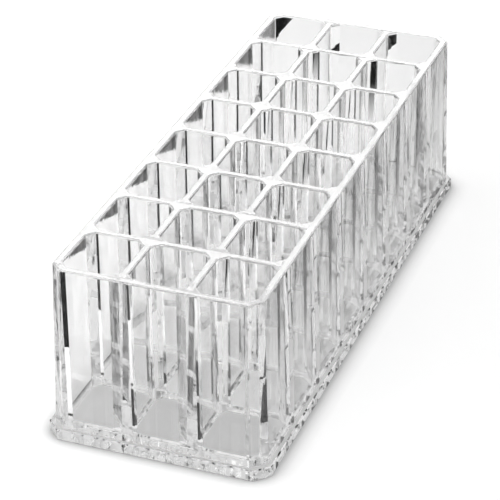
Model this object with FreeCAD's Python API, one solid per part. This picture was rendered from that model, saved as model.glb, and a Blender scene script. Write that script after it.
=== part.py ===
import FreeCAD, Part
import math
import os

# Clear vanity organizer: a grid of open cells inside four outer walls on a base plate.
# All pieces are moulded clear acrylic, welded face to face with solvent cement.
# Millimetres. +X runs across the cells, +Y along the length to the rear and +Z up,
# with the origin at the middle of the underside.

# Cells
columns = 3                 # cells side by side, along X
rows = 8                    # cells one behind the other, along Y
cell_width = 23.5           # clear width between a cell's flat faces at its mouth, along X
cell_length = 26.8          # clear length between a cell's flat faces at its mouth, along Y
cell_chamfer = 3.0          # leg of the 45 degree cut in each corner of a cell
cell_taper = 0.6            # how far each face of a cell leans in from its mouth to its foot

# Outer walls and dividers
overall_height = 74.0       # from the table to the rim
wall_thickness = 3.4        # of an outer wall, at the rim
divider_thickness = 3.3     # at the rim
corner_chamfer = 4.7        # leg of the 45 degree cut at each outer corner, at the rim
draft_spread = 1.9          # how far each outer face leans out from the rim to its foot
rim_round = 0.8             # radius of the rounded edges of the rim
rim_flats = 3               # flat strips that make up the rounded edge
upper_lap_share = 0.5       # share of a divider's height above the seat of the lap joints

# Base plate
plate_thickness = 4.4       # of the flange that shows round the walls
flange_reach = 1.8          # how far the flange stands out past the foot of the walls
flange_chamfer = 5.5        # leg of the 45 degree cut at each corner of the flange
flange_bevel = 0.5          # bevel along the upper edge of the flange
pad_rise = 1.6              # how far the floor pad of a cell stands above the flange
pad_bevel = 0.6             # bevel round the top of a floor pad

# How far a trimming solid passes the face that it trims
overrun = 5.0

# Grid lines, outlines and heights that follow from the sizes above
column_pitch = cell_width + divider_thickness
row_pitch = cell_length + divider_thickness
column_lines = [column_pitch * (i - columns / 2) for i in range(1, columns)]
row_lines = [row_pitch * (j - rows / 2) for j in range(1, rows)]
cell_centres = [
    (column_pitch * (i - (columns - 1) / 2), row_pitch * (j - (rows - 1) / 2))
    for i in range(columns) for j in range(rows)
]
inner_width = columns * column_pitch - divider_thickness
inner_length = rows * row_pitch - divider_thickness
rim_width = inner_width + 2 * wall_thickness
rim_length = inner_length + 2 * wall_thickness
flange_width = rim_width + 2 * (draft_spread + flange_reach)
flange_length = rim_length + 2 * (draft_spread + flange_reach)
round_foot_height = overall_height - rim_round
lap_seat_height = overall_height - upper_lap_share * (overall_height - plate_thickness)
half_web = divider_thickness / 2
half_post = half_web + cell_chamfer

# An outline that is offset evenly gains this share of the offset on each leg of a 45 degree cut
leg_gain_share = 2 - 2 ** 0.5


def cut_rectangle(width, length, chamfer, height, centre=(0, 0), inset=0):
    """Points of a level rectangle with its corners cut at 45 degrees, all sides moved in by the inset."""
    x = width / 2 - inset
    y = length / 2 - inset
    leg = chamfer - leg_gain_share * inset
    corners = [
        (x - leg, -y), (x, leg - y), (x, y - leg), (x - leg, y),
        (leg - x, y), (-x, y - leg), (-x, leg - y), (leg - x, -y),
    ]
    return [FreeCAD.Vector(centre[0] + px, centre[1] + py, height) for px, py in corners]


def rim_layers():
    """Heights up the rounded edge of the rim, each with how far the edge stands back there."""
    angles = [math.pi / 2 * step / rim_flats for step in range(rim_flats + 1)]
    return [
        (round_foot_height + rim_round * math.sin(angle), rim_round * (1 - math.cos(angle)))
        for angle in angles
    ]


def flat_face(points):
    """Face bounded by straight edges through the points."""
    return Part.Face(Part.makePolygon(points + points[:1]))


def layered_solid(outlines):
    """Solid with flat sides through level outlines of as many points, from the lowest up."""
    faces = [flat_face(outlines[0]), flat_face(outlines[-1])]
    for lower, upper in zip(outlines, outlines[1:]):
        next_lower = lower[1:] + lower[:1]
        next_upper = upper[1:] + upper[:1]
        faces += [flat_face(list(side)) for side in zip(lower, next_lower, next_upper, upper)]
    return Part.Solid(Part.Shell(faces))


def upright_prism(plan, bottom, top):
    """Solid of one plan outline, given as pairs of x and y, between two heights."""
    points = [FreeCAD.Vector(x, y, bottom) for x, y in plan]
    return flat_face(points).extrude(FreeCAD.Vector(0, 0, top - bottom))


def base_plate():
    """Flange with a bevelled upper edge, and a bevelled floor pad that plugs into the foot of each cell."""
    flange_layers = [(0, 0), (plate_thickness - flange_bevel, 0), (plate_thickness, flange_bevel)]
    flange = layered_solid([
        cut_rectangle(flange_width, flange_length, flange_chamfer, height, inset=inset)
        for height, inset in flange_layers
    ])
    pad_layers = [(0, 0), (pad_rise - pad_bevel, 0), (pad_rise, pad_bevel)]
    pads = [
        layered_solid([
            cut_rectangle(cell_width, cell_length, cell_chamfer, plate_thickness + rise, centre, cell_taper + inset)
            for rise, inset in pad_layers
        ])
        for centre in cell_centres
    ]
    return flange.multiFuse(pads).removeSplitter()


def outer_envelope():
    """The space within the leaning outer faces, from the walls' foot to the rounded edge of the rim."""
    layers = [(plate_thickness, -draft_spread)] + rim_layers()
    return layered_solid([
        cut_rectangle(rim_width, rim_length, corner_chamfer, height, inset=inset) for height, inset in layers
    ])


def cell_voids():
    """The hollows of the cells: they taper down to the foot and flare out at the rounded mouth."""
    layers = [(plate_thickness - overrun, cell_taper), (plate_thickness, cell_taper)]
    layers += [(height, -back) for height, back in rim_layers()]
    layers.append((overall_height + overrun, -rim_round))
    return [
        layered_solid([
            cut_rectangle(cell_width, cell_length, cell_chamfer, height, centre, inset)
            for height, inset in layers
        ])
        for centre in cell_centres
    ]


def hollowed(block):
    """The block without the hollows of the cells that reach into it."""
    return block.cut([void for void in voids if void.BoundBox.intersect(block.BoundBox)])


def outer_wall(run, depth, seats, turn):
    """Outer wall, mitred at both ends, with a pair of posts that grips each divider's end.

    It is drawn as the wall at the front, along X, with its inner face towards +Y, and then
    turned about the Z axis. Seats are the places along it where dividers end.
    """
    face = wall_thickness - depth / 2
    post_end = face + cell_chamfer
    inner_end = run / 2 - wall_thickness - cell_chamfer
    flare = draft_spread + overrun
    plan = [
        (-run / 2 - flare, -depth / 2 - flare),
        (run / 2 + flare, -depth / 2 - flare),
        (inner_end, post_end),
    ]
    for seat in sorted(seats, reverse=True):
        plan += [
            (seat + half_web, post_end),
            (seat + half_web, face),
            (seat - half_web, face),
            (seat - half_web, post_end),
        ]
    plan.append((-inner_end, post_end))
    sector = upright_prism(plan, plate_thickness - overrun, overall_height + overrun)
    sector.rotate(FreeCAD.Vector(0, 0, 0), FreeCAD.Vector(0, 0, 1), turn)
    return hollowed(outer_envelope().common(sector))


def long_divider(line):
    """Divider along Y with a post at each crossing, slotted from the top for the cross dividers."""
    end = inner_length / 2
    post_side = end - cell_chamfer
    right_side = [(half_web, -end), (half_web, -post_side), (half_post, -post_side),
                  (half_post, post_side), (half_web, post_side), (half_web, end)]
    left_side = [(-x, y) for x, y in reversed(right_side)]
    block = upright_prism([(line + x, y) for x, y in right_side + left_side], plate_thickness, overall_height)
    slot_reach = half_post + overrun
    slots = [
        upright_prism([
            (line - slot_reach, row_line - half_web),
            (line + slot_reach, row_line - half_web),
            (line + slot_reach, row_line + half_web),
            (line - slot_reach, row_line + half_web),
        ], lap_seat_height, overall_height + overrun)
        for row_line in row_lines
    ]
    return hollowed(block.cut(slots))


def cross_divider(line):
    """Divider along X, notched from below to straddle the posts of the long dividers."""
    end = inner_width / 2
    steps = [-end + cell_chamfer]
    for column_line in column_lines:
        steps += [column_line - half_post, column_line + half_post]
    steps.append(end - cell_chamfer)
    near_side = [(-end, -half_web)]
    for start, stop in zip(steps[::2], steps[1::2]):
        near_side += [(start, -half_web), (start, -half_post), (stop, -half_post), (stop, -half_web)]
    near_side.append((end, -half_web))
    far_side = [(x, -y) for x, y in reversed(near_side)]
    block = upright_prism([(x, line + y) for x, y in near_side + far_side], plate_thickness, overall_height)
    notch_reach = half_post + overrun
    notches = [
        upright_prism([
            (column_line - half_post, line - notch_reach),
            (column_line + half_post, line - notch_reach),
            (column_line + half_post, line + notch_reach),
            (column_line - half_post, line + notch_reach),
        ], plate_thickness - overrun, lap_seat_height)
        for column_line in column_lines
    ]
    return hollowed(block.cut(notches))


voids = cell_voids()
pieces = {
    "base_plate": base_plate(),
    "front_wall": outer_wall(rim_width, rim_length, column_lines, 0),
    "right_wall": outer_wall(rim_length, rim_width, row_lines, 90),
    "rear_wall": outer_wall(rim_width, rim_length, column_lines, 180),
    "left_wall": outer_wall(rim_length, rim_width, row_lines, 270),
}
for number, line in enumerate(column_lines, start=1):
    pieces[f"long_divider_{number}"] = long_divider(line)
for number, line in enumerate(row_lines, start=1):
    pieces[f"cross_divider_{number}"] = cross_divider(line)

os.makedirs("parts", exist_ok=True)
for node, shape in pieces.items():
    shape.exportStep(f"parts/{node}.step")
    print(f"{node}: {len(shape.Solids)} solid, {shape.Volume:.1f} mm3, valid {shape.isValid()}")
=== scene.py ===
import bpy
import numpy as np
from mathutils import Matrix, Vector
from mathutils.geometry import tessellate_polygon


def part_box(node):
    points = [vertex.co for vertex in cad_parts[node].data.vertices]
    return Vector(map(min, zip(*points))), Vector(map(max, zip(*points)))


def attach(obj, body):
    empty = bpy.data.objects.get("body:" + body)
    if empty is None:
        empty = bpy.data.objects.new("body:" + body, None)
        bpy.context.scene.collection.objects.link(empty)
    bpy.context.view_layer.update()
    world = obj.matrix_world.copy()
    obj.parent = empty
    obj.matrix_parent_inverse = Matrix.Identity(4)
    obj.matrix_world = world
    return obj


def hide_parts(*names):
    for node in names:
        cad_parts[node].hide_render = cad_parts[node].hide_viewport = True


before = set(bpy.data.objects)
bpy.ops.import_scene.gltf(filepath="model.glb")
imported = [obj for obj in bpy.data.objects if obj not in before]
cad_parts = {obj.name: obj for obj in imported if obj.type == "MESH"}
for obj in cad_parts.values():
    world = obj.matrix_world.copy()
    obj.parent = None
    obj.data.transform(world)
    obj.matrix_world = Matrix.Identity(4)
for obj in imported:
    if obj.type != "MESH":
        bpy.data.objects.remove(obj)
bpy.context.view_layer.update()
scene = bpy.context.scene

# Base plate
# A moulded clear acrylic plate that everything stands on: a flange with cut corners and one raised
# floor pad for each cell. The walls and dividers are cemented to it around the pads.

mm = 0.001
cell_columns, cell_rows = 3, 8
plate_low, plate_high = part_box("base_plate")
wall_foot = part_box("front_wall")[0].z
column_boxes = [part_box(f"long_divider_{i}") for i in range(1, cell_columns)]
row_boxes = [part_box(f"cross_divider_{j}") for j in range(1, cell_rows)]
column_lines = [(low.x + high.x) / 2 for low, high in column_boxes]
row_lines = [(low.y + high.y) / 2 for low, high in row_boxes]
column_pitch = column_lines[1] - column_lines[0]
row_pitch = row_lines[1] - row_lines[0]

divider_thickness = 3.3 * mm    # at the rim
cell_taper = 0.6 * mm           # how far a cell's face leans in from mouth to foot
cell_chamfer = 3.0 * mm         # leg of the cut corner of a cell at its mouth
corner_chamfer = 4.7 * mm       # leg of the cut outer corner at the rim
outer_draft = 1.9 * mm          # how far an outer face leans out from rim to foot
flange_chamfer = 5.5 * mm
flange_bevel = 0.5 * mm
pad_bevel = 0.6 * mm
half_web = divider_thickness / 2
half_post = half_web + cell_chamfer
leg_gain = 2 - 2 ** 0.5         # share of an even offset that a 45 degree leg gains
short = 2 ** 0.5 - 1            # share of it that moves a cut corner's point along its side
pad_contact = plate_high.z - pad_bevel


def cut_rectangle(half_width, half_length, leg):
    """Rectangle with corners cut at 45 degrees, anticlockwise from the front edge's right end.

    An even offset of d moves its points by d * cut_rectangle(1, 1, leg_gain).
    """
    x, y = half_width, half_length
    return np.array([
        (x - leg, -y), (x, leg - y), (x, y - leg), (x - leg, y),
        (leg - x, y), (-x, y - leg), (-x, leg - y), (leg - x, -y),
    ])


def raise_rings(plan, heights, *moves):
    """Rings of points p(k, i) = plan(i) + the sum of offset(k) * direction(i), at height(k)."""
    flat = plan + sum(np.multiply.outer(offsets, directions) for offsets, directions in moves)
    level = np.broadcast_to(np.asarray(heights)[:, None, None], flat.shape[:2] + (1,))
    return np.concatenate([flat, level], axis=2)


def side_strips(rings, film, turns):
    """Quads from ring to ring, flat unless the upper ring has a turn t over 0.

    Those belong to the rounded rim: their normals are n * cos t + z * sin t, with n the level normal.
    """
    levels, sides = rings.shape[:2]
    low, side = np.indices((levels - 1, sides))
    beside = (side + 1) % sides
    quads = np.stack([low * sides + side, low * sides + beside,
                      (low + 1) * sides + beside, (low + 1) * sides + side], axis=-1).reshape(-1, 4)
    points = rings.reshape(-1, 3)
    corners = points[quads]
    flat = np.cross(corners[:, 2] - corners[:, 0], corners[:, 3] - corners[:, 1])
    flat /= np.linalg.norm(flat, axis=1, keepdims=True)
    level = flat * (1, 1, 0)
    level /= np.linalg.norm(level, axis=1, keepdims=True)
    turn = np.stack([turns[:-1], turns[:-1], turns[1:], turns[1:]], axis=1).repeat(sides, axis=0)
    rounded = level[:, None] * np.cos(turn)[..., None] + np.sin(turn)[..., None] * (0, 0, 1)
    on_round = (turns[1:] > 0).repeat(sides)
    normals = np.where(on_round[:, None, None], rounded, flat[:, None])
    return points, list(quads), film.ravel(), normals.reshape(-1, 3)


def level_face(ring, up, film):
    """One flat face over a level ring of points, facing up or down."""
    order = np.arange(len(ring))[::1 if up else -1]
    return ring, [order], np.array([film]), np.tile((0, 0, 1 if up else -1), (len(ring), 1))


def level_fill(loops, film):
    """Upward triangles between a level outer loop of points and the loops within it."""
    triangles = np.array(tessellate_polygon([[Vector(point) for point in loop] for loop in loops]))
    points = np.concatenate(loops)
    a, b, c = points[triangles].transpose(1, 0, 2)
    downward = np.cross(b - a, c - a)[:, 2] < 0
    triangles[downward] = triangles[downward, ::-1]
    normals = np.tile((0, 0, 1), (triangles.size, 1))
    return points, list(triangles), np.full(len(triangles), film), normals


def make_piece(node, patches):
    """Mesh object that stands for the node: welded patches of points, faces, film flags and normals."""
    starts = np.cumsum([0] + [len(patch[0]) for patch in patches])
    points = np.round(np.concatenate([patch[0] for patch in patches]), 9)
    points, welded = np.unique(points, axis=0, return_inverse=True)
    welded = welded.ravel()
    faces = [welded[face + start].tolist() for start, patch in zip(starts, patches) for face in patch[1]]
    film = np.concatenate([patch[2] for patch in patches])
    mesh = bpy.data.meshes.new(node + "_acrylic")
    mesh.from_pydata(points.tolist(), [], faces)
    mesh.materials.append(plate_acrylic if node == "base_plate" else clear_acrylic)
    mesh.materials.append(cement_film)
    mesh.polygons.foreach_set("material_index", film.astype(np.int32))
    mesh.polygons.foreach_set("use_smooth", np.ones(len(faces), bool))
    mesh.normals_split_custom_set(np.concatenate([patch[3] for patch in patches]).tolist())
    piece = bpy.data.objects.new(node + "_acrylic", mesh)
    scene.collection.objects.link(piece)
    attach(piece, "root")
    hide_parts(node)
    return piece


def srgb(code):
    """Linear colour of an sRGB hex code."""
    channels = np.array([int(code[i:i + 2], 16) for i in (1, 3, 5)]) / 255
    linear = np.where(channels <= 0.04045, channels / 12.92, ((channels + 0.055) / 1.055) ** 2.4)
    return (*linear.tolist(), 1.0)


def add_node(tree, kind, sockets=None, **settings):
    """Adds a node. A socket takes a plain value, or the output that is linked to it."""
    made = tree.nodes.new(kind)
    for name, value in settings.items():
        setattr(made, name, value)
    for socket, value in (sockets or {}).items():
        if isinstance(value, bpy.types.NodeSocket):
            tree.links.new(value, made.inputs[socket])
        else:
            made.inputs[socket].default_value = value
    return made


ripple_spacing = 1.6 * mm
ripple_length = 45 * mm
haze_width = 12 * mm            # of the slightly dulled patches


def moulded_acrylic(name, ripple_depth, sink_depth):
    """Moulded clear acrylic: glossy, colourless and clear as water, and lamps shine through it.

    Its faces sink towards the thick posts by 4 * sink_depth * (u * u + v * v), with u and v from -0.5
    to 0.5 across each cell. Faint upright flow ripples and slightly dulled patches lie over that.
    """
    material = bpy.data.materials.new(name)
    material.use_nodes = True
    tree = material.node_tree
    tree.nodes.clear()
    on_piece = add_node(tree, "ShaderNodeTexCoord")
    axes = add_node(tree, "ShaderNodeSeparateXYZ", {0: on_piece.outputs["Object"]})
    row_share = add_node(tree, "ShaderNodeMath", {0: axes.outputs["Y"], 1: row_pitch}, operation="DIVIDE")
    row_shift = add_node(tree, "ShaderNodeMath", {0: row_share.outputs[0], 1: 0.5}, operation="ADD")
    row_place = add_node(
        tree, "ShaderNodeMath", {0: row_shift.outputs[0], 1: 0.5, 2: -0.5}, operation="WRAP")
    row_sink = add_node(
        tree, "ShaderNodeMath", {0: row_place.outputs[0], 1: row_place.outputs[0]}, operation="MULTIPLY")
    column_share = add_node(
        tree, "ShaderNodeMath", {0: axes.outputs["X"], 1: column_pitch}, operation="DIVIDE")
    column_place = add_node(
        tree, "ShaderNodeMath", {0: column_share.outputs[0], 1: 0.5, 2: -0.5}, operation="WRAP")
    column_sink = add_node(tree, "ShaderNodeMath", {
        0: column_place.outputs[0], 1: column_place.outputs[0],
    }, operation="MULTIPLY")
    sink = add_node(
        tree, "ShaderNodeMath", {0: row_sink.outputs[0], 1: column_sink.outputs[0]}, operation="ADD")
    upright = add_node(tree, "ShaderNodeMapping", {
        "Vector": on_piece.outputs["Object"],
        "Scale": (1 / ripple_spacing, 1 / ripple_spacing, 1 / ripple_length),
    })
    ripples = add_node(
        tree, "ShaderNodeTexNoise", {"Vector": upright.outputs[0], "Scale": 1.0, "Detail": 1.0})
    ripple_height = add_node(
        tree, "ShaderNodeMath", {0: ripples.outputs[0], 1: ripple_depth}, operation="MULTIPLY")
    height = add_node(tree, "ShaderNodeMath", {
        0: sink.outputs[0], 1: -4 * sink_depth, 2: ripple_height.outputs[0],
    }, operation="MULTIPLY_ADD")

    # Seen from within the acrylic, a face's relief is turned round
    side = add_node(tree, "ShaderNodeNewGeometry")
    facing = add_node(tree, "ShaderNodeMath", {
        0: side.outputs["Backfacing"], 1: -2.0, 2: 1.0,
    }, operation="MULTIPLY_ADD")
    seen_height = add_node(
        tree, "ShaderNodeMath", {0: height.outputs[0], 1: facing.outputs[0]}, operation="MULTIPLY")
    relief = add_node(
        tree, "ShaderNodeBump", {"Height": seen_height.outputs[0], "Strength": 1.0, "Distance": 1.0})
    haze = add_node(tree, "ShaderNodeTexNoise", {
        "Vector": on_piece.outputs["Object"], "Scale": 1 / haze_width, "Detail": 3.0,
    })
    dullness = add_node(tree, "ShaderNodeMapRange", {
        "Value": haze.outputs[0], "From Min": 0.45, "From Max": 0.75, "To Min": 0.0, "To Max": 0.01,
    })
    acrylic = add_node(tree, "ShaderNodeBsdfPrincipled", {
        "Base Color": srgb("#FFFFFF"),
        "Roughness": dullness.outputs[0],
        "IOR": 1.49,
        "Transmission Weight": 1.0,
        "Specular Tint": (0.5, 0.5, 0.5, 1),
        "Normal": relief.outputs[0],
    })
    lamp_light = add_node(tree, "ShaderNodeBsdfTransparent", {"Color": srgb("#FDFDFD")})
    light_path = add_node(tree, "ShaderNodeLightPath")
    through = add_node(tree, "ShaderNodeMixShader", {
        0: light_path.outputs["Is Shadow Ray"], 1: acrylic.outputs[0], 2: lamp_light.outputs[0],
    })
    add_node(tree, "ShaderNodeOutputMaterial", {"Surface": through.outputs[0]})
    return material


# The walls and dividers show the marks of their mould: lines seen through them waver a little.
clear_acrylic = moulded_acrylic("moulded_clear_acrylic", 0.004 * mm, 0.05 * mm)
# The plate is thick and even, and its edges stay crisp.
plate_acrylic = moulded_acrylic("moulded_clear_acrylic_plate", 0.0006 * mm, 0.0)

# Solvent cement: where two pieces are bonded the acrylic is one, and the joint can't be seen.
cement_film = bpy.data.materials.new("solvent_cement_joint")
cement_film.use_nodes = True
tree = cement_film.node_tree
tree.nodes.clear()
joined = add_node(tree, "ShaderNodeBsdfTransparent", {"Color": (1, 1, 1, 1)})
add_node(tree, "ShaderNodeOutputMaterial", {"Surface": joined.outputs[0]})

half_flange = (plate_high - plate_low).xy / 2
foot_outline = cut_rectangle(
    -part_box("left_wall")[0].x, -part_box("front_wall")[0].y, corner_chamfer + leg_gain * outer_draft)
even_offset = cut_rectangle(1, 1, leg_gain)
flange_rings = raise_rings(
    cut_rectangle(half_flange.x, half_flange.y, flange_chamfer),
    [plate_low.z, wall_foot - flange_bevel, wall_foot],
    ([0, 0, -flange_bevel], even_offset))
pad_plan = cut_rectangle(
    (column_pitch - divider_thickness) / 2 - cell_taper,
    (row_pitch - divider_thickness) / 2 - cell_taper,
    cell_chamfer - leg_gain * cell_taper)
cell_centres = [
    (column_pitch * (i - (cell_columns - 1) / 2), row_pitch * (j - (cell_rows - 1) / 2))
    for i in range(cell_columns) for j in range(cell_rows)
]
pad_heights = [wall_foot, pad_contact, plate_high.z]
pad_rings = [
    raise_rings(pad_plan + centre, pad_heights, ([0, 0, -pad_bevel], even_offset))
    for centre in cell_centres
]
foot_ring = raise_rings(foot_outline, [wall_foot], ([0], even_offset))[0]
patches = [
    level_face(flange_rings[0], False, False),
    side_strips(flange_rings, np.zeros((2, 8), bool), np.zeros(3)),
    level_fill([flange_rings[2], foot_ring], False),
    level_fill([foot_ring] + [rings[0] for rings in pad_rings], True),
]
for rings in pad_rings:
    patches.append(side_strips(rings, np.array([[True] * 8, [False] * 8]), np.zeros(3)))
    patches.append(level_face(rings[2], True, False))
make_piece("base_plate", patches)

# Outer walls
# Four moulded clear acrylic walls, mitred and cemented at the cut corners. Their outer faces lean out
# to the foot, and pairs of half posts on the inside hold the dividers' ends. The rim is rounded.

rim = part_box("front_wall")[1].z
wall_thickness = 3.4 * mm       # at the rim
rim_round = 0.8 * mm
round_foot = rim - rim_round
rim_strips = 8                  # from the upright face to the top, with smooth shading over them
rim_turns = np.linspace(0, np.pi / 2, rim_strips + 1)
rim_heights = round_foot + rim_round * np.sin(rim_turns)
rim_backs = rim_round * (1 - np.cos(rim_turns))


def taper_share(heights):
    """Share of the full taper at each height: 1 at the foot, falling evenly to 0 where the rim rounds."""
    return (round_foot - np.asarray(heights)) / (round_foot - wall_foot)


def wall_plan(run, depth, seats):
    """Plan of an outer wall as the front wall, with its points' moves as the cells and the outside widen.

    Returns points, moves per widening of the cells, moves per widening of the outside, and edge kinds:
    o for an outer edge, c for a cell's edge and j for a joint.
    """
    half_run, outer = run / 2, -depth / 2
    inner = outer + wall_thickness
    end = half_run - wall_thickness
    diagonal = 0.5 ** 0.5
    rows = [
        (-half_run + corner_chamfer / 2, outer + corner_chamfer / 2, 0, 0, -diagonal, -diagonal, "o"),
        (-half_run + corner_chamfer, outer, 0, 0, -short, -1, "o"),
        (half_run - corner_chamfer, outer, 0, 0, short, -1, "o"),
        (half_run - corner_chamfer / 2, outer + corner_chamfer / 2, 0, 0, diagonal, -diagonal, "j"),
        (end - cell_chamfer / 2, inner + cell_chamfer / 2, diagonal, -diagonal, 0, 0, "c"),
        (end - cell_chamfer, inner, short, -1, 0, 0, "c"),
    ]
    for seat in sorted(seats, reverse=True):
        rows += [
            (seat + half_post, inner, -short, -1, 0, 0, "c"),
            (seat + half_web, inner + cell_chamfer, -1, -short, 0, 0, "j"),
            (seat + half_web, inner, 0, 0, 0, 0, "j"),
            (seat - half_web, inner, 0, 0, 0, 0, "j"),
            (seat - half_web, inner + cell_chamfer, 1, -short, 0, 0, "c"),
            (seat - half_post, inner, short, -1, 0, 0, "c"),
        ]
    rows += [
        (-end + cell_chamfer, inner, -short, -1, 0, 0, "c"),
        (-end + cell_chamfer / 2, inner + cell_chamfer / 2, -diagonal, -diagonal, 0, 0, "j"),
    ]
    table = np.array([row[:6] for row in rows])
    return table[:, :2], table[:, 2:4], table[:, 4:], np.array([row[6] for row in rows])


rim_width = 2 * (-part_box("left_wall")[0].x - outer_draft)
rim_length = 2 * (-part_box("front_wall")[0].y - outer_draft)
wall_heights = np.concatenate([[wall_foot, pad_contact], rim_heights])
wall_turns = np.concatenate([[0, 0], rim_turns])
wall_backs = np.concatenate([[0, 0], rim_backs])
wall_shares = np.concatenate([taper_share([wall_foot, pad_contact]), np.zeros(len(rim_turns))])
for quarter, (side, run, depth, seats) in enumerate([
    ("front_wall", rim_width, rim_length, column_lines),
    ("right_wall", rim_length, rim_width, row_lines),
    ("rear_wall", rim_width, rim_length, column_lines),
    ("left_wall", rim_length, rim_width, row_lines),
]):
    plan, cell_moves, outer_moves, kinds = wall_plan(run, depth, seats)
    rings = raise_rings(plan, wall_heights,
                        (wall_backs - cell_taper * wall_shares, cell_moves),
                        (outer_draft * wall_shares - wall_backs, outer_moves))
    turn = np.array(Matrix.Rotation(quarter * np.pi / 2, 3, "Z"))
    rings = rings @ turn.T
    film = np.tile(kinds == "j", (len(rings) - 1, 1))
    film[0] |= kinds == "c"
    make_piece(side, [
        level_face(rings[0], False, True),
        side_strips(rings, film, wall_turns),
        level_face(rings[-1], True, False),
    ])

# Long dividers
# Two moulded clear acrylic dividers along the length, with a diamond post at each crossing. Slots from
# above take the cross dividers, and both ends are cemented between the half posts of the end walls.

lap_seat = (wall_foot + rim) / 2
inner_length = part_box("long_divider_1")[1].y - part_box("long_divider_1")[0].y
lower_heights = np.array([wall_foot, pad_contact, lap_seat])
lower_offsets = -cell_taper * taper_share(lower_heights)
upper_heights = np.concatenate([[lap_seat], rim_heights])
upper_offsets = np.concatenate([lower_offsets[-1:], rim_backs])
upper_turns = np.concatenate([[0], rim_turns])


def mirrored(half, kinds, axis):
    """Closed plan from one side of it, in anticlockwise order: the other side is its mirror image."""
    flip = np.ones(half.shape[1])
    flip[axis::2] = -1
    points = np.concatenate([half, half[::-1] * flip])
    return points[:, :2], points[:, 2:], np.array(list(kinds) + ["j"] + list(kinds)[::-1] + ["j"])


def divider_patches(plan, moves, kinds, heights, offsets, turns):
    """Rings of a stretch of divider through the heights, and its side faces."""
    rings = raise_rings(plan, heights, (offsets, moves))
    film = np.tile(kinds == "j", (len(rings) - 1, 1))
    film[:-1 if turns[-1] == 0 else 0] |= kinds == "c"
    return rings, side_strips(rings, film, turns)


half_length = inner_length / 2
for number, line in enumerate(column_lines, start=1):
    front_end = [(half_web, -half_length, 0, 0), (half_web, cell_chamfer - half_length, -1, -short)]
    rear_end = [(half_web, half_length - cell_chamfer, -1, short), (half_web, half_length, 0, 0)]
    before = [
        [(half_web, row - half_post, -1, short), (half_post, row - half_web, -short, 1)]
        for row in row_lines
    ]
    after = [
        [(half_post, row + half_web, -short, -1), (half_web, row + half_post, -1, -short)]
        for row in row_lines
    ]
    posts = [point for pair in zip(before, after) for two in pair for point in two]
    right_side = np.array(front_end + posts + rear_end)
    plan, moves, kinds = mirrored(right_side, "jc" + "cjcc" * len(row_lines) + "j", 0)
    rings, sides = divider_patches(
        plan + (line, 0), moves, kinds, lower_heights, lower_offsets, np.zeros(3))
    patches = [level_face(rings[0], False, True), sides]
    starts = [front_end] + after
    stops = before + [rear_end]
    for start, stop in zip(starts, stops):
        island_kinds = ("j" if start is front_end else "c") + "c" + ("j" if stop is rear_end else "c")
        plan, moves, kinds = mirrored(np.array(start + stop), island_kinds, 0)
        rings, sides = divider_patches(
            plan + (line, 0), moves, kinds, upper_heights, upper_offsets, upper_turns)
        patches += [sides, level_face(rings[-1], True, False)]
    for near, far in zip(before, after):
        plan, moves, kinds = mirrored(np.array([near[1], far[0]]), "j", 0)
        seat = raise_rings(plan + (line, 0), [lap_seat], (lower_offsets[-1:], moves))[0]
        patches.append(level_face(seat, True, True))
    make_piece(f"long_divider_{number}", patches)

# Cross dividers
# Seven moulded clear acrylic dividers across the cells. Notches from below straddle the posts of the long
# dividers halfway up, and all the lap joints and both ends are cemented.

half_width = (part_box("cross_divider_1")[1].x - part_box("cross_divider_1")[0].x) / 2
for number, line in enumerate(row_lines, start=1):
    left_end = [(-half_width, -half_web, 0, 0), (cell_chamfer - half_width, -half_web, -short, 1)]
    right_end = [(half_width - cell_chamfer, -half_web, short, 1), (half_width, -half_web, 0, 0)]
    before = [[(column - half_post, -half_web, short, 1)] for column in column_lines]
    after = [[(column + half_post, -half_web, -short, 1)] for column in column_lines]
    notch_sides = [point for pair in zip(before, after) for one in pair for point in one]
    near_side = np.array(left_end + notch_sides + right_end)
    plan, moves, kinds = mirrored(near_side, "jc" + "jc" * len(column_lines) + "j", 1)
    rings, sides = divider_patches(
        plan + (0, line), moves, kinds, upper_heights, upper_offsets, upper_turns)
    patches = [sides, level_face(rings[-1], True, False)]
    for start, stop in zip([left_end] + after, before + [right_end]):
        leg_kinds = ("j" if start is left_end else "") + "c" + ("j" if stop is right_end else "")
        plan, moves, kinds = mirrored(np.array(start + stop), leg_kinds, 1)
        rings, sides = divider_patches(
            plan + (0, line), moves, kinds, lower_heights, lower_offsets, np.zeros(3))
        patches += [level_face(rings[0], False, True), sides]
    for near, far in zip(before, after):
        plan, moves, kinds = mirrored(np.array(near + far), "j", 1)
        notch = raise_rings(plan + (0, line), [lap_seat], (lower_offsets[-1:], moves))[0]
        patches.append(level_face(notch, False, True))
    make_piece(f"cross_divider_{number}", patches)

# White table
# A white paper top that the part stands on, with painted shade round and under the plate. Two strips of
# black felt lie beside the part. The camera doesn't see them: they are painted darkness, which darkens
# only light that the acrylic has turned.

table_reach = 4.0               # from the middle to each edge
table_drop = 0.2 * mm           # below the plate, so that no two faces share a place
shadow_reach = 9 * mm           # how far the contact shadow spreads
left_start = -86.8 * mm         # near edge of the left strip
left_slant = 0.016              # share of its run that the left strip turns towards the part's rear
left_width = 120 * mm
hem_width = 24 * mm             # near part of the left strip, which also shows through a single wall
right_middle = 105 * mm         # middle of the right strip, which is soft at both edges
right_core = 20 * mm            # half width of its full black
right_fade = 55 * mm            # half width with its soft edges
dark_strips_front = -115 * mm          # the strips end here towards the front
paper_white = 0.91              # share of the light that bare paper sends back
acrylic_lift = 0.3              # share of the table's white lift that light through the acrylic takes up

table_mesh = bpy.data.meshes.new("white_table")
table_corners = table_reach * np.array([(-1, -1, 0), (1, -1, 0), (1, 1, 0), (-1, 1, 0)])
table_mesh.from_pydata((table_corners - (0, 0, table_drop)).tolist(), [], [(0, 1, 2, 3)])
table = bpy.data.objects.new("white_table", table_mesh)
scene.collection.objects.link(table)
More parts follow.
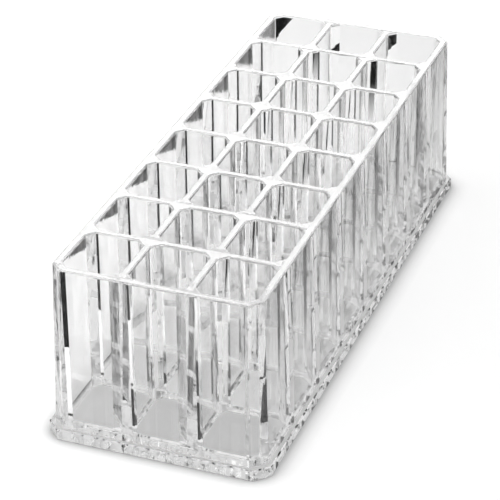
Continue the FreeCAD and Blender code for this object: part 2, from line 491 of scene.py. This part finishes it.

# White paper and black felt, the felt being painted darkness: both matt, so the table has no shine of its
# own.
white_table = bpy.data.materials.new("white_table")
white_table.use_nodes = True
tree = white_table.node_tree
tree.nodes.clear()
on_table = add_node(tree, "ShaderNodeTexCoord")
axes = add_node(tree, "ShaderNodeSeparateXYZ", {0: on_table.outputs["Object"]})
light_path = add_node(tree, "ShaderNodeLightPath")
mirrors = light_path.outputs["Glossy Depth"]              # how often the acrylic has mirrored the light
faces_passed = light_path.outputs["Transmission Depth"]   # two for each wall

# Painted contact shadow round the plate, and painted shade on the paper under it, paler for light that
# has passed more walls or been mirrored often
corner = add_node(tree, "ShaderNodeAmbientOcclusion", {
    "Color": (1, 1, 1, 1), "Distance": shadow_reach,
}, samples=8)
painted_contact_shadow = add_node(tree, "ShaderNodeMapRange", {
    "Value": corner.outputs["AO"], "From Min": 0.4, "From Max": 1.0, "To Min": 0.3, "To Max": 1.0,
})
beneath = add_node(tree, "ShaderNodeMath", {0: corner.outputs["AO"], 1: 0.05}, operation="LESS_THAN")
many_mirrors = add_node(tree, "ShaderNodeMath", {0: mirrors, 1: 2.5}, operation="GREATER_THAN")
walls_shade = add_node(tree, "ShaderNodeMapRange", {
    "Value": faces_passed, "From Min": 4.0, "From Max": 8.0, "To Min": 0.6, "To Max": 0.95,
})
beneath_shade = add_node(tree, "ShaderNodeMix", {
    0: many_mirrors.outputs[0], 2: walls_shade.outputs[0], 3: 0.85,
})
shade = add_node(tree, "ShaderNodeMix", {
    0: beneath.outputs[0], 2: painted_contact_shadow.outputs[0], 3: beneath_shade.outputs[0],
})

# Felt strips, painted dark reflections: black only for light mirrored in the acrylic
slanted = add_node(tree, "ShaderNodeMath", {
    0: axes.outputs["Y"], 1: -left_slant, 2: axes.outputs["X"],
}, operation="MULTIPLY_ADD")
left = add_node(tree, "ShaderNodeMath", {
    0: slanted.outputs[0], 1: left_start - left_width / 2, 2: left_width / 2,
}, operation="COMPARE")
off_right = add_node(
    tree, "ShaderNodeMath", {0: axes.outputs["X"], 1: right_middle}, operation="SUBTRACT")
off_middle = add_node(tree, "ShaderNodeMath", {0: off_right.outputs[0]}, operation="ABSOLUTE")
right = add_node(tree, "ShaderNodeMapRange", {
    "Value": off_middle.outputs[0],
    "From Min": right_core, "From Max": right_fade, "To Min": 1.0, "To Max": 0.0,
})
strips = add_node(tree, "ShaderNodeMath", {0: left.outputs[0], 1: right.outputs[0]}, operation="MAXIMUM")
is_mirrored = add_node(tree, "ShaderNodeMath", {0: mirrors, 1: 0.5}, operation="GREATER_THAN")
shown = add_node(
    tree, "ShaderNodeMath", {0: strips.outputs[0], 1: is_mirrored.outputs[0]}, operation="MULTIPLY")

# Hem of the left strip, painted darkness for light that has passed a single wall
hem = add_node(tree, "ShaderNodeMath", {
    0: slanted.outputs[0], 1: left_start - hem_width / 2, 2: hem_width / 2,
}, operation="COMPARE")
one_wall = add_node(tree, "ShaderNodeMath", {0: faces_passed, 1: 2.0, 2: 0.5}, operation="COMPARE")
passed = add_node(
    tree, "ShaderNodeMath", {0: hem.outputs[0], 1: one_wall.outputs[0]}, operation="MULTIPLY")
either = add_node(
    tree, "ShaderNodeMath", {0: shown.outputs[0], 1: passed.outputs[0]}, operation="MAXIMUM")
behind_front = add_node(
    tree, "ShaderNodeMath", {0: axes.outputs["Y"], 1: dark_strips_front}, operation="GREATER_THAN")
painted_dark_strips = add_node(
    tree, "ShaderNodeMath", {0: either.outputs[0], 1: behind_front.outputs[0]}, operation="MULTIPLY")

# Darkness under the plate, for light mirrored once or twice on its way through two to five walls
few_mirrors = add_node(tree, "ShaderNodeMath", {0: mirrors, 1: 1.5, 2: 1.0}, operation="COMPARE")
few_walls = add_node(tree, "ShaderNodeMath", {0: faces_passed, 1: 6.5, 2: 4.0}, operation="COMPARE")
turned = add_node(
    tree, "ShaderNodeMath", {0: few_mirrors.outputs[0], 1: few_walls.outputs[0]}, operation="MULTIPLY")
under = add_node(
    tree, "ShaderNodeMath", {0: beneath.outputs[0], 1: turned.outputs[0]}, operation="MULTIPLY")
dark = add_node(
    tree, "ShaderNodeMath", {0: painted_dark_strips.outputs[0], 1: under.outputs[0]}, operation="MAXIMUM")

# Painted shade: the paper's colour carries the painted contact shadow and the shade under the plate
paper_colour_and_painted_shade = add_node(
    tree, "ShaderNodeMath", {0: shade.outputs[0], 1: paper_white}, operation="MULTIPLY")
paper = add_node(tree, "ShaderNodeBsdfDiffuse", {"Color": paper_colour_and_painted_shade.outputs[0]})
# Painted darkness: near-black for the felt strips and for the darkness under the plate
painted_darkness = add_node(tree, "ShaderNodeBsdfDiffuse", {"Color": srgb("#050505")})
surface = add_node(tree, "ShaderNodeMixShader", {
    0: dark.outputs[0], 1: paper.outputs[0], 2: painted_darkness.outputs[0],
})

# White lift away from the part, a painted glow that is weaker near the part and keeps its painted shade,
# so that the table runs out into the white backdrop
from_middle = add_node(tree, "ShaderNodeVectorMath", {0: on_table.outputs["Object"]}, operation="LENGTH")
whitening = add_node(tree, "ShaderNodeMapRange", {
    "Value": from_middle.outputs["Value"],
    "From Min": 0.05, "From Max": 0.5, "To Min": 0.08, "To Max": 0.5,
})
bare = add_node(tree, "ShaderNodeMath", {0: 1.0, 1: dark.outputs[0]}, operation="SUBTRACT")
bare_shade = add_node(
    tree, "ShaderNodeMath", {0: bare.outputs[0], 1: shade.outputs[0]}, operation="MULTIPLY")
lift_strength = add_node(
    tree, "ShaderNodeMath", {0: whitening.outputs[0], 1: bare_shade.outputs[0]}, operation="MULTIPLY")
lift = add_node(tree, "ShaderNodeEmission", {
    "Color": (1, 1, 1, 1), "Strength": lift_strength.outputs[0],
})
no_lift = add_node(tree, "ShaderNodeEmission", {"Color": (0, 0, 0, 1), "Strength": 0.0})
through_acrylic = add_node(tree, "ShaderNodeMath", {
    0: light_path.outputs["Is Glossy Ray"], 1: light_path.outputs["Is Transmission Ray"],
}, operation="MAXIMUM")
lift_share = add_node(tree, "ShaderNodeMath", {
    0: through_acrylic.outputs[0], 1: acrylic_lift, 2: light_path.outputs["Is Camera Ray"],
}, operation="MULTIPLY_ADD")
lifted = add_node(tree, "ShaderNodeMixShader", {
    0: lift_share.outputs[0], 1: no_lift.outputs[0], 2: lift.outputs[0],
})
table_top = add_node(tree, "ShaderNodeAddShader", {0: surface.outputs[0], 1: lifted.outputs[0]})
add_node(tree, "ShaderNodeOutputMaterial", {"Surface": table_top.outputs[0]})
table_mesh.materials.append(white_table)

# Lamps
# A round soft lamp above the left gives the shadow at the right. A wide weak lamp behind the part lights
# only what mirrors it, which brightens the rounded rims.

soft_lamp_data = bpy.data.lights.new("soft_lamp", "AREA")
soft_lamp_data.shape = "DISK"
soft_lamp_data.size = 0.35
soft_lamp_data.energy = 2.8
soft_lamp = bpy.data.objects.new("soft_lamp", soft_lamp_data)
scene.collection.objects.link(soft_lamp)
soft_lamp_place = Vector((-0.20, -0.05, 0.55))
soft_lamp.matrix_world = (Matrix.Translation(soft_lamp_place)
                          @ soft_lamp_place.to_track_quat("Z", "Y").to_matrix().to_4x4())
soft_lamp.visible_glossy = False
soft_lamp.visible_transmission = False

rim_lamp_data = bpy.data.lights.new("rim_lamp", "AREA")
rim_lamp_data.shape = "RECTANGLE"
rim_lamp_data.size = 0.5
rim_lamp_data.size_y = 0.3
rim_lamp_data.energy = 1.6
rim_lamp = bpy.data.objects.new("rim_lamp", rim_lamp_data)
scene.collection.objects.link(rim_lamp)
rim_lamp_way = Vector((-0.305, 0.807, 0.505))
rim_lamp_distance = 1.2
rim_lamp.matrix_world = (Matrix.Translation(rim_lamp_distance * rim_lamp_way)
                         @ rim_lamp_way.to_track_quat("Z", "Y").to_matrix().to_4x4())
rim_lamp.visible_transmission = False
rim_lamp.visible_diffuse = False

# Backdrop
# A white studio backdrop. To the camera it is plain white, and the acrylic shows it white overhead, pale
# to the rear and dark towards the front, as a room behind a photographer is. Matt surfaces get even grey.

world = bpy.data.worlds.new("studio")
world.use_nodes = True
scene.world = world
tree = world.node_tree
tree.nodes.clear()
light_path = add_node(tree, "ShaderNodeLightPath")
heading = add_node(tree, "ShaderNodeTexCoord")
axes = add_node(tree, "ShaderNodeSeparateXYZ", {0: heading.outputs["Generated"]})
rearward = add_node(tree, "ShaderNodeMapRange", {
    "Value": axes.outputs["Y"], "From Min": -0.4, "From Max": 0.7, "To Min": 0.03, "To Max": 0.75,
})
overhead = add_node(tree, "ShaderNodeMapRange", {
    "Value": axes.outputs["Z"], "From Min": 0.5, "From Max": 0.95, "To Min": 0.0, "To Max": 0.9,
})
paleness = add_node(
    tree, "ShaderNodeMath", {0: rearward.outputs[0], 1: overhead.outputs[0]}, operation="MAXIMUM")
whiteness = add_node(tree, "ShaderNodeMath", {
    0: paleness.outputs[0], 1: light_path.outputs["Is Camera Ray"],
}, operation="MAXIMUM")
through_acrylic = add_node(tree, "ShaderNodeMath", {
    0: light_path.outputs["Is Glossy Ray"], 1: light_path.outputs["Is Transmission Ray"],
}, operation="MAXIMUM")
sees_backdrop = add_node(tree, "ShaderNodeMath", {
    0: through_acrylic.outputs[0], 1: light_path.outputs["Is Camera Ray"],
}, operation="MAXIMUM")
room = add_node(tree, "ShaderNodeBackground", {"Color": srgb("#A8A8A8"), "Strength": 1.0})
backdrop = add_node(tree, "ShaderNodeBackground", {
    "Color": (1, 1, 1, 1), "Strength": whiteness.outputs[0],
})
seen = add_node(tree, "ShaderNodeMixShader", {
    0: sees_backdrop.outputs[0], 1: room.outputs[0], 2: backdrop.outputs[0],
})
add_node(tree, "ShaderNodeOutputWorld", {"Surface": seen.outputs[0]})

# Camera
# A long lens at about a metre, looking down at the front from a little to the right. Its place and its
# lens come from a fit to the rims of the cells, the feet of the walls and the flange.

azimuth, elevation, roll = 0.36203826, 0.52868982, -0.00725774
shift_right, shift_up, distance = -7.548279 * mm, 19.834653 * mm, 960.757176 * mm
focal_pixels, picture_pixels = 2266.874149, 500
across = np.array([np.cos(azimuth), np.sin(azimuth), 0])
level_back = np.array([np.sin(azimuth), -np.cos(azimuth), 0])
back = np.cos(elevation) * level_back + np.sin(elevation) * np.array([0, 0, 1])
upward = np.cross(back, across)
camera_right = np.cos(roll) * across + np.sin(roll) * upward
camera_up = np.cos(roll) * upward - np.sin(roll) * across
camera_place = shift_right * camera_right + shift_up * camera_up + distance * back
camera_data = bpy.data.cameras.new("camera")
camera_data.sensor_width = 36.0
camera_data.lens = focal_pixels * camera_data.sensor_width / picture_pixels
camera = bpy.data.objects.new("camera", camera_data)
scene.collection.objects.link(camera)
camera_frame = np.column_stack([camera_right, camera_up, back, camera_place])
camera.matrix_world = Matrix(camera_frame.tolist() + [[0, 0, 0, 1]])
scene.camera = camera

scene.view_settings.view_transform = "Standard"
# Light bounces often between so many clear walls
scene.cycles.max_bounces = 48
scene.cycles.transmission_bounces = 48
scene.cycles.glossy_bounces = 24
scene.cycles.transparent_max_bounces = 96
